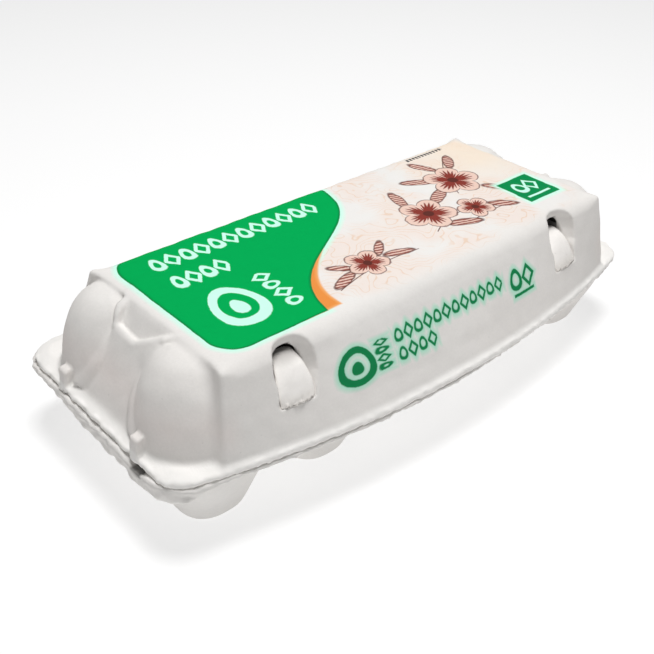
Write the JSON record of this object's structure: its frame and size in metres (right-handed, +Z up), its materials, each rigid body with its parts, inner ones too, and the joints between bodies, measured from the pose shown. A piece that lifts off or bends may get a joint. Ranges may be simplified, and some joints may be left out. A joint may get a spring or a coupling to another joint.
{
  "type": "shut egg carton",
  "caption": "Shut moulded pulp egg carton: printed lid with domed corners, over a tray of egg cups, held by front locking tabs.",
  "frame": {"origin": "middle of the carton's footprint, on the surface that the cups' feet stand on", "axes": "+X along the carton, +Z up, and the front with the locking tabs faces -Y"},
  "size_m": [0.2506, 0.1236, 0.0668],
  "materials": {
    "pulp": "matt, slightly fibrous moulded paper pulp"
  },
  "bodies": {
    "root": {"lid": "pulp", "tray": "pulp", "hinge": "pulp", "lock_tab_left": "pulp", "lock_tab_right": "pulp"}
  },
  "joints": []
}
